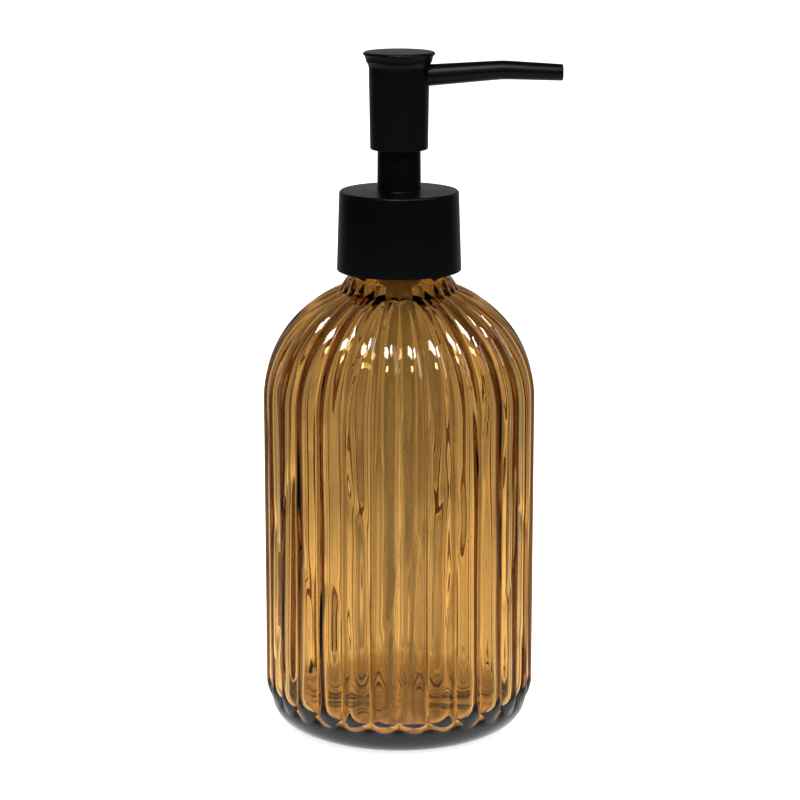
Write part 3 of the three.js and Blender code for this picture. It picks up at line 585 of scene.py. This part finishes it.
def thread_rise(sizes, z, angle):
    """Height of the screw ridge on the neck."""
    start = high("bottle") - sizes.thread_start
    turns = (angle % TURN) / TURN
    rise = 0.0
    for lap in range(-2, 3):
        centre = start + (turns - 1.0 - lap) * sizes.thread_pitch
        run = 1.0 - turns + lap
        fade = max(0.0, min(1.0, run * THREAD_RUN_IN, (sizes.thread_turns - run) * THREAD_RUN_IN))
        off = abs(z - centre)
        ridge = max(0.0, min(1.0, (THREAD_HALF - off) / THREAD_FLANK))
        rise = max(rise, sizes.thread_depth * ridge * fade)
    return rise


def wall_wave(sizes, z, angle):
    """Unevenness of the blown inner wall: slow upright waves and a few fine folds."""
    across = Vector((math.cos(angle), math.sin(angle), 0.0))
    up = Vector((0.0, 0.0, z))
    slow = noise.noise(across * SLOW_WAVES[0] + up * SLOW_WAVES[1])
    small = noise.noise(across * SMALL_WAVES[0] + up * SMALL_WAVES[1] + Vector((7.1, 2.4, 0.0)))
    fold = noise.noise(across * FOLDS[0] + up * FOLDS[1] + Vector((0.0, 5.3, 1.7)))
    ridge = max(0.0, 1.0 - abs(fold) * FOLD_SHARPNESS)
    waves = slow * SLOW_SHARE + small * SMALL_SHARE
    return sizes.unevenness * waves + sizes.crease * ridge


def rib_echo(sizes, radius, z, angle):
    """How far the inner wall stands back behind a rib."""
    crest = rib_rise(sizes, radius + sizes.wall, z, TURN / 2 / sizes.ribs)
    return sizes.echo * crest * (1.0 - math.cos(angle * sizes.ribs)) / 2


class DISPENSER_OT_bottle(bpy.types.Operator):
    """Spin the glass, raise the ribs and the screw ridge, and make its inner wall uneven"""
    bl_idname = "dispenser.bottle"
    bl_label = "Bottle"

    def execute(self, context):
        sizes = context.scene.dispenser_bottle
        outside = outer_outline(sizes)
        inside = inner_outline(sizes)
        bm = outline_to_bmesh(outside + inside, closed=False)
        wall = bm.verts.layers.int.new("inner_wall")
        bm.verts.ensure_lookup_table()
        for vert in bm.verts[len(outside):]:
            vert[wall] = 1
        bmesh.ops.spin(bm, geom=bm.verts[:] + bm.edges[:], cent=(0, 0, 0), axis=(0, 0, 1),
                       dvec=(0, 0, 0), angle=TURN / sizes.ribs, steps=RIB_STEPS)
        rest = sizes.ribs - 1
        bmesh.ops.spin(bm, geom=bm.verts[:] + bm.edges[:] + bm.faces[:], cent=(0, 0, 0),
                       axis=(0, 0, 1), dvec=(0, 0, 0), angle=TURN * rest / sizes.ribs,
                       steps=rest, use_duplicate=True)
        bmesh.ops.remove_doubles(bm, verts=bm.verts, dist=WELD)
        bmesh.ops.recalc_face_normals(bm, faces=bm.faces)
        bm.normal_update()
        root_z = sizes.shoulder_z + sizes.shoulder_height
        moves = []
        for vert in bm.verts:
            radius = math.hypot(vert.co.x, vert.co.y)
            angle = math.atan2(vert.co.y, vert.co.x)
            z = vert.co.z
            if vert[wall]:
                fade = min(1.0, max(0.0, (radius - sizes.bore_radius * 1.1) / (8 * MM)))
                lift = (wall_wave(sizes, z, angle) - rib_echo(sizes, radius, z, angle)) * fade
            elif z > root_z + sizes.neck_band_height:
                lift = thread_rise(sizes, z, angle)
            elif z < root_z and radius > 1 * MM:
                lift = rib_rise(sizes, radius, z, angle)
            else:
                lift = 0.0
            moves.append((vert, vert.normal.copy() * lift))
        for vert, move in moves:
            vert.co += move
        bm.verts.layers.int.remove(wall)
        finish_mesh(bm, "glass_bottle", "bottle", ["bottle"],
                    get_finish("amber_glass"), 60.0)
        return {"FINISHED"}


# ---- Collar and head -----------------------------------------------------------------------------

class DISPENSER_OT_collar(bpy.types.Operator):
    """Turn the collar cover with its chimney"""
    bl_idname = "dispenser.collar"
    bl_label = "Collar cover"

    def execute(self, context):
        sizes = context.scene.dispenser_pump
        bottom = low("collar_cover")
        foot = half_width("collar_cover")
        shell_top = low("head_shell") - sizes.chimney_shown
        rim = foot - sizes.cover_draft
        edge = sizes.cover_edge
        foot_edge = sizes.cover_foot_edge
        small = (SMALL_EDGE, SMALL_EDGE)
        chimney = half_width("stem") + sizes.chimney_clear
        tip = chimney - sizes.chimney_draft
        bore = tip - sizes.chimney_wall
        top = high("collar_cover")
        under = shell_top - sizes.cover_top_wall
        inside = foot - sizes.cover_wall
        points = [(inside, bottom + 0.1 * MM), (inside + 0.1 * MM, bottom)]
        points += arc((foot - foot_edge, bottom + foot_edge), (foot_edge, foot_edge), -90, 0, 4)
        points += arc((rim - edge, shell_top - edge), (edge, edge), 0, 90, 10)
        points += arc((chimney + SMALL_EDGE, shell_top + SMALL_EDGE), small, 270, 180, 4)
        points += arc((tip - SMALL_EDGE, top - SMALL_EDGE), small, 0, 90, 4)
        points += [(bore, top), (bore, under), (rim - sizes.cover_wall, under)]
        finish_mesh(spin_outline(points, COVER_STEPS), "collar_cover_shell", "closure",
                    ["collar_cover"], get_finish("satin_black"))
        return {"FINISHED"}


class DISPENSER_OT_head(bpy.types.Operator):
    """Turn the head's tapered shell and its flared top cap"""
    bl_idname = "dispenser.head"
    bl_label = "Head"

    def execute(self, context):
        sizes = context.scene.dispenser_pump
        bottom = low("head_shell")
        top = high("top_cap")
        flare = half_width("top_cap")
        shoulder_z = top - sizes.flare_height - 1.6 * MM
        seam = high("head_shell")
        wide = flare - sizes.flare_reach
        narrow = wide - sizes.head_draft
        wall = sizes.head_wall
        inside = narrow - wall
        shell = [(inside + 0.2 * MM, bottom + 0.1 * MM), (inside + 0.3 * MM, bottom)]
        shell += arc((narrow - SMALL_EDGE, bottom + SMALL_EDGE), (SMALL_EDGE, SMALL_EDGE),
                     -90, 0, 4)
        shell += [(wide - 0.02 * MM, shoulder_z)]
        shell += [(wide + 0.08 * MM, shoulder_z + 0.7 * MM), (wide + 0.45 * MM, seam)]
        shell += [(wide - wall, seam), (narrow - wall, bottom + 3 * MM)]
        finish_mesh(spin_outline(shell, HEAD_STEPS), "head_shell_smooth", "head",
                    ["head_shell"], get_finish("satin_black"))
        under = seam + sizes.cap_seam
        edge = sizes.cap_edge
        rim = top - sizes.cap_dish
        plug = wide - wall - 0.3 * MM
        ring = plug - 0.8 * MM
        cap = [(0.0, under), (ring, under), (ring, under - sizes.cap_plug),
               (plug, under - sizes.cap_plug), (plug, under), (wide + 0.60 * MM, under),
               (wide + 0.72 * MM, under + 0.12 * MM), (wide + 0.74 * MM, under + 0.45 * MM),
               (flare - 0.55 * MM, rim - edge - 0.75 * MM),
               (flare - 0.45 * MM, rim - edge - 0.45 * MM),
               (flare - 0.12 * MM, rim - edge - 0.28 * MM)]
        cap += arc((flare - edge, rim - edge), (edge, edge), 0, 85, 10)
        crown = [(flare - edge - 0.3 * MM, rim + 0.01 * MM)]
        for i in range(1, 11):
            r = (flare - edge) * (1.0 - i / 10.0)
            crown.append((r, top - sizes.cap_dish * (r / (flare - edge)) ** 2))
        cap += crown
        finish_mesh(spin_outline(cap, HEAD_STEPS, closed=False), "top_cap_smooth", "head",
                    ["top_cap"], get_finish("satin_black"))
        return {"FINISHED"}


def spout_height(sizes, x):
    """Height of the spout's middle line: two straight runs with an eased bend."""
    root_x = half_width("head_shell") - sizes.head_wall
    tip_x = BOXES["spout"][1].x
    base = high("top_cap") - sizes.spout_drop
    climb = sizes.spout_arch / (sizes.spout_bend - root_x)
    drop = (sizes.spout_droop - sizes.spout_arch) / (tip_x - sizes.spout_bend)
    past = x - sizes.spout_bend
    eased = (past + math.hypot(past, sizes.spout_ease)) / 2
    return base + sizes.spout_arch + climb * past + (drop - climb) * eased


def spout_stations(sizes):
    """[x, radius] along the outside to the rounded tip, then back along the bore."""
    root_x = half_width("head_shell") - sizes.head_wall
    tip_x = BOXES["spout"][1].x
    edge = sizes.spout_edge
    steps = 30
    outside = []
    for i in range(steps + 1):
        x = root_x + (tip_x - edge - root_x) * i / steps
        share_gone = (x - root_x) / (tip_x - root_x)
        outside.append((x, sizes.spout_root + (sizes.spout_tip - sizes.spout_root) * share_gone))
    lip_radius = outside[-1][1]
    rounded = [(tip_x - edge + edge * math.sin(math.radians(a)),
                lip_radius - edge * (1.0 - math.cos(math.radians(a)))) for a in (22, 45, 68, 90)]
    chamfer = sizes.spout_chamfer
    mouth = [(tip_x, sizes.spout_bore + chamfer), (tip_x - chamfer, sizes.spout_bore)]
    back = [(tip_x - chamfer + (root_x - tip_x + chamfer) * i / 10, sizes.spout_bore)
            for i in range(1, 11)]
    return outside + rounded + mouth + back


class DISPENSER_OT_spout(bpy.types.Operator):
    """Bridge rings into the bent, tapered spout with its bore, rounded tip and mould line"""
    bl_idname = "dispenser.spout"
    bl_label = "Spout"

    def execute(self, context):
        sizes = context.scene.dispenser_pump
        bm = bmesh.new()
        sideways = Matrix(((0, 0, 1), (1, 0, 0), (0, 1, 0))).to_4x4()
        loops = []
        for x, radius in spout_stations(sizes):
            place = Vector((x, 0.0, spout_height(sizes, x)))
            made = bmesh.ops.create_circle(bm, cap_ends=False, segments=TUBE_STEPS,
                                           radius=radius)
            bmesh.ops.transform(bm, matrix=Matrix.Translation(place) @ sideways,
                                verts=made["verts"])
            if radius > sizes.spout_tip - 0.1 * MM:
                for vert in made["verts"]:
                    if abs(vert.co.z - place.z) < 0.01 * MM:
                        vert.co.y *= 1.0 + sizes.mould_line / radius
            loops.append({edge for vert in made["verts"] for edge in vert.link_edges})
        for first, second in zip(loops, loops[1:] + loops[:1]):
            bmesh.ops.bridge_loops(bm, edges=list(first | second))
        finish_mesh(bm, "spout_tube", "head", ["spout"],
                    get_finish("satin_black"), 50.0)
        return {"FINISHED"}


# ---- Pump body -----------------------------------------------------------------------------------

class DISPENSER_OT_pump_body(bpy.types.Operator):
    """Turn the stepped pump body and the dip tube that show through the glass"""
    bl_idname = "dispenser.pump_body"
    bl_label = "Pump body and dip tube"

    def execute(self, context):
        sizes = context.scene.dispenser_pump
        top = high("pump_housing")
        bottom = low("pump_housing")
        flange = half_width("pump_housing")
        flange_under = top - sizes.flange_height
        tube_top = high("dip_tube")
        tube_low = low("dip_tube")
        tube = half_width("dip_tube")
        collar = sizes.housing_collar
        barrel = sizes.barrel_radius
        bore = sizes.barrel_bore
        step = low("piston_rod") - sizes.barrel_step
        chamber = sizes.chamber_radius
        seat = tube_top + 1.05 * MM
        valve = sizes.valve_bore
        grip = tube + sizes.tube_play
        socket = tube + sizes.tube_socket
        points = [(bore, top), (bore, step + 1.25 * MM), (sizes.chamber_bore, step),
                  (sizes.chamber_bore, seat + 3.1 * MM), (valve, seat + 1.0 * MM),
                  (valve, seat - 0.9 * MM), (grip, seat - 0.9 * MM), (grip, bottom),
                  (socket - 0.2 * MM, bottom), (socket, bottom + 0.2 * MM), (socket, seat),
                  (chamber, seat + 0.5 * MM), (chamber, step - 1.35 * MM)]
        points += arc((barrel - 0.4 * MM, step + 0.4 * MM), (0.4 * MM, 0.4 * MM), -45, 0, 4)
        points += [(barrel, top - 5.2 * MM), (barrel + 0.3 * MM, top - 4.9 * MM),
                   (collar - 0.2 * MM, top - 4.2 * MM), (collar, top - 4.0 * MM),
                   (collar, flange_under), (flange, flange_under), (flange, top)]
        finish_mesh(spin_outline(points, PUMP_STEPS), "pump_housing_smooth", "pump_unit",
                    ["pump_housing"], get_finish("natural_plastic"))
        pipe = spin_outline([(sizes.tube_bore, tube_low), (tube, tube_low), (tube, tube_top),
                             (sizes.tube_bore, tube_top)], TUBE_STEPS)
        slope = Vector((-3.0, 0.0, 5.0)).normalized()
        bmesh.ops.bisect_plane(pipe, geom=pipe.verts[:] + pipe.edges[:] + pipe.faces[:],
                               dist=WELD, plane_co=(0, 0, tube_low + 1.5 * MM), plane_no=slope,
                               clear_inner=True)
        rims = [e for e in pipe.edges if e.is_boundary]
        bmesh.ops.bridge_loops(pipe, edges=rims)
        finish_mesh(pipe, "dip_tube_smooth", "pump_unit", ["dip_tube"],
                    get_finish("soft_plastic"))
        return {"FINISHED"}


def travel(joint):
    """Length of a sliding joint's range."""
    shortest, longest = next(j["range_m"] for j in frame["joints"] if j["name"] == joint)
    return longest - shortest


class DISPENSER_OT_spring(bpy.types.Operator):
    """Wind the return spring"""
    bl_idname = "dispenser.spring"
    bl_label = "Return spring"

    def execute(self, context):
        sizes = context.scene.dispenser_pump
        wire = sizes.spring_wire
        foot = low("return_spring")
        tall = high("return_spring") - foot
        steps = COIL_STEPS * sizes.spring_turns
        bm = bmesh.new()
        made = bmesh.ops.create_circle(bm, cap_ends=False, segments=12, radius=wire)
        start = Matrix.Translation((sizes.spring_radius, 0.0, foot + wire))
        bmesh.ops.transform(bm, matrix=start @ Matrix.Rotation(math.pi / 2, 4, "X"),
                            verts=made["verts"])
        bmesh.ops.spin(bm, geom=bm.verts[:] + bm.edges[:], cent=(0, 0, 0), axis=(0, 0, 1),
                       dvec=(0, 0, (tall - 2 * wire) / steps),
                       angle=-TURN * sizes.spring_turns, steps=steps)
        bmesh.ops.holes_fill(bm, edges=[edge for edge in bm.edges if edge.is_boundary])
        coil = finish_mesh(bm, "return_spring_coil", "pump_unit", ["return_spring"],
                           get_finish("spring_wire"), 50.0)
        1.0 - travel("head_press") / tall
        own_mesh(coil)
        return {"FINISHED"}


class DISPENSER_OT_inner_pieces(bpy.types.Operator):
    """Give the pieces that stay hidden in the pump their finishes"""
    bl_idname = "dispenser.inner_pieces"
    bl_label = "Inner pieces"

    finishes = {
        "screw_cap": "satin_black", "chaplet": "satin_black", "head_core": "satin_black",
        "neck_gasket": "foam_washer", "stem_seal": "soft_plastic", "piston": "soft_plastic",
        "stem": "natural_plastic", "piston_rod": "natural_plastic",
        "spring_seat": "natural_plastic", "inlet_ball": "ball_polish",
    }

    def execute(self, context):
        for node, finish in self.finishes.items():
            for slot in frame["nodes"][node].material_slots:
                slot.material = get_finish(finish)
        return {"FINISHED"}


# ---- Studio --------------------------------------------------------------------------------------

def soft_light(name, place, target, size, power, tint):
    """A rectangular lamp at a place, aimed at a target."""
    data = bpy.data.lights.new(name, "AREA")
    data.shape = "RECTANGLE"
    data.size, data.size_y = size
    data.energy = power
    data.color = tint
    lamp = bpy.data.objects.new(name, data)
    lamp.location = place
    lamp.rotation_euler = (Vector(target) - Vector(place)).to_track_quat("-Z", "Y").to_euler()
    bpy.context.scene.collection.objects.link(lamp)


def bright_field(values):
    """White behind the object, softly striped through the glass and dim in reflections."""
    world = bpy.data.worlds.new("studio_light")
    world.use_nodes = True
    sky = Network(world.node_tree)
    direction = sky.node("ShaderNodeTexCoord")
    parts = sky.nodes.new("ShaderNodeSeparateXYZ")
    sky.links.new(direction.socket, parts.inputs[0])
    x, y, z = (Signal(sky, output) for output in parts.outputs)
    stripes = 0.5 + 0.5 * (y.math("ARCTAN2", x) * STRIPES).math("COSINE")
    cloud = sky.node("ShaderNodeTexNoise", None,
                     {"Vector": direction, "Scale": 3.0, "Detail": 1.0})
    light_span = values.field_light - values.flag_light
    glow = ((values.flag_light + light_span * (stripes ** STRIPE_SHAPE))
            * (CLOUDS[0] + CLOUDS[1] * cloud))
    through = (glow * sky.ramp(z, *OVERHEAD, 1.0, values.overhead_share)
               * sky.ramp(z, *TABLE_EDGE, values.table_share, 1.0))
    rays = sky.nodes.new("ShaderNodeLightPath")
    path = {output.name: Signal(sky, output) for output in rays.outputs}
    seen = path["Is Camera Ray"]
    inside = path["Is Transmission Ray"]
    matt = path["Is Diffuse Ray"]
    mirrored = (sky.ramp(y, *REAR, values.room_light, values.rear_light)
                + sky.ramp(z, *TABLE_MIRRORED, values.table_light, 0.0))
    room = matt * values.floor_light + (1.0 - matt) * mirrored
    strength = seen + (1.0 - seen) * (inside * through + (1.0 - inside) * room)
    lit = sky.node("ShaderNodeBackground", None,
                   {"Color": (*values.backdrop, 1.0), "Strength": strength})
    end = sky.nodes.new("ShaderNodeOutputWorld")
    sky.links.new(lit.socket, end.inputs["Surface"])
    return world


class DISPENSER_OT_studio(bpy.types.Operator):
    """Set the pale floor, the light and the camera"""
    bl_idname = "dispenser.studio"
    bl_label = "Studio"

    def execute(self, context):
        values = context.scene.dispenser_studio
        bm = bmesh.new()
        bmesh.ops.create_circle(bm, cap_ends=True, segments=96, radius=FLOOR_RADIUS)
        mesh = bpy.data.meshes.new("studio_floor")
        bm.to_mesh(mesh)
        bm.free()
        ground = bpy.data.objects.new("studio_floor", mesh)
        context.scene.collection.objects.link(ground)
        plain = Finish("studio_white")
        plain.set(Base_Color=(*values.floor_colour, 1.0), Roughness=0.9, Specular_IOR_Level=0.0)
        plain.set(Emission_Color=(*values.floor_colour, 1.0), Emission_Strength=values.floor_glow)
        mesh.materials.append(plain.material)
        ground.visible_glossy = False
        ground.visible_transmission = False
        context.scene.world = bright_field(values)

        for lamp in LAMPS:
            soft_light(*lamp)

        data = bpy.data.cameras.new("studio_camera")
        data.lens = values.lens
        data.sensor_width = 36.0
        camera = bpy.data.objects.new("studio_camera", data)
        camera.location = (values.offset, -values.distance, values.height)
        camera.rotation_euler = Euler((math.pi / 2 - values.tilt, 0.0, 0.0))
        context.scene.collection.objects.link(camera)
        context.scene.camera = camera
        context.scene.view_settings.view_transform = "Standard"
        return {"FINISHED"}


# ---- Panel and registration ----------------------------------------------------------------------

OPERATORS = (
    DISPENSER_OT_studio,
    DISPENSER_OT_bottle,
    DISPENSER_OT_collar,
    DISPENSER_OT_head,
    DISPENSER_OT_spout,
    DISPENSER_OT_pump_body,
    DISPENSER_OT_spring,
    DISPENSER_OT_inner_pieces,
)


class DISPENSER_PT_panel(bpy.types.Panel):
    """Lists the pieces and their sizes"""
    bl_idname = "DISPENSER_PT_panel"
    bl_label = "Soap Pump Dispenser"
    bl_space_type = "VIEW_3D"
    bl_region_type = "UI"
    bl_category = "Dispenser"

    def draw(self, context):
        for operator in OPERATORS:
            self.layout.operator(operator.bl_idname)
        for group in (context.scene.dispenser_bottle, context.scene.dispenser_pump,
                      context.scene.dispenser_finishes, context.scene.dispenser_studio):
            box = self.layout.box()
            for name in group.__annotations__:
                box.prop(group, name)


GROUPS = {
    "dispenser_bottle": BottleSizes,
    "dispenser_pump": PumpSizes,
    "dispenser_finishes": Finishes,
    "dispenser_studio": StudioValues,
}


def register():
    for name, group in GROUPS.items():
        bpy.utils.register_class(group)
        setattr(bpy.types.Scene, name, PointerProperty(type=group))
    for operator in OPERATORS:
        bpy.utils.register_class(operator)
    bpy.utils.register_class(DISPENSER_PT_panel)


def unregister():
    bpy.utils.unregister_class(DISPENSER_PT_panel)
    for operator in reversed(OPERATORS):
        bpy.utils.unregister_class(operator)
    for name, group in GROUPS.items():
        delattr(bpy.types.Scene, name)
        bpy.utils.unregister_class(group)


def main():
    """Make the whole scene."""
    register()
    for operator in OPERATORS:
        category, name = operator.bl_idname.split(".")
        getattr(getattr(bpy.ops, category), name)()


if __name__ == "__main__":
    main()
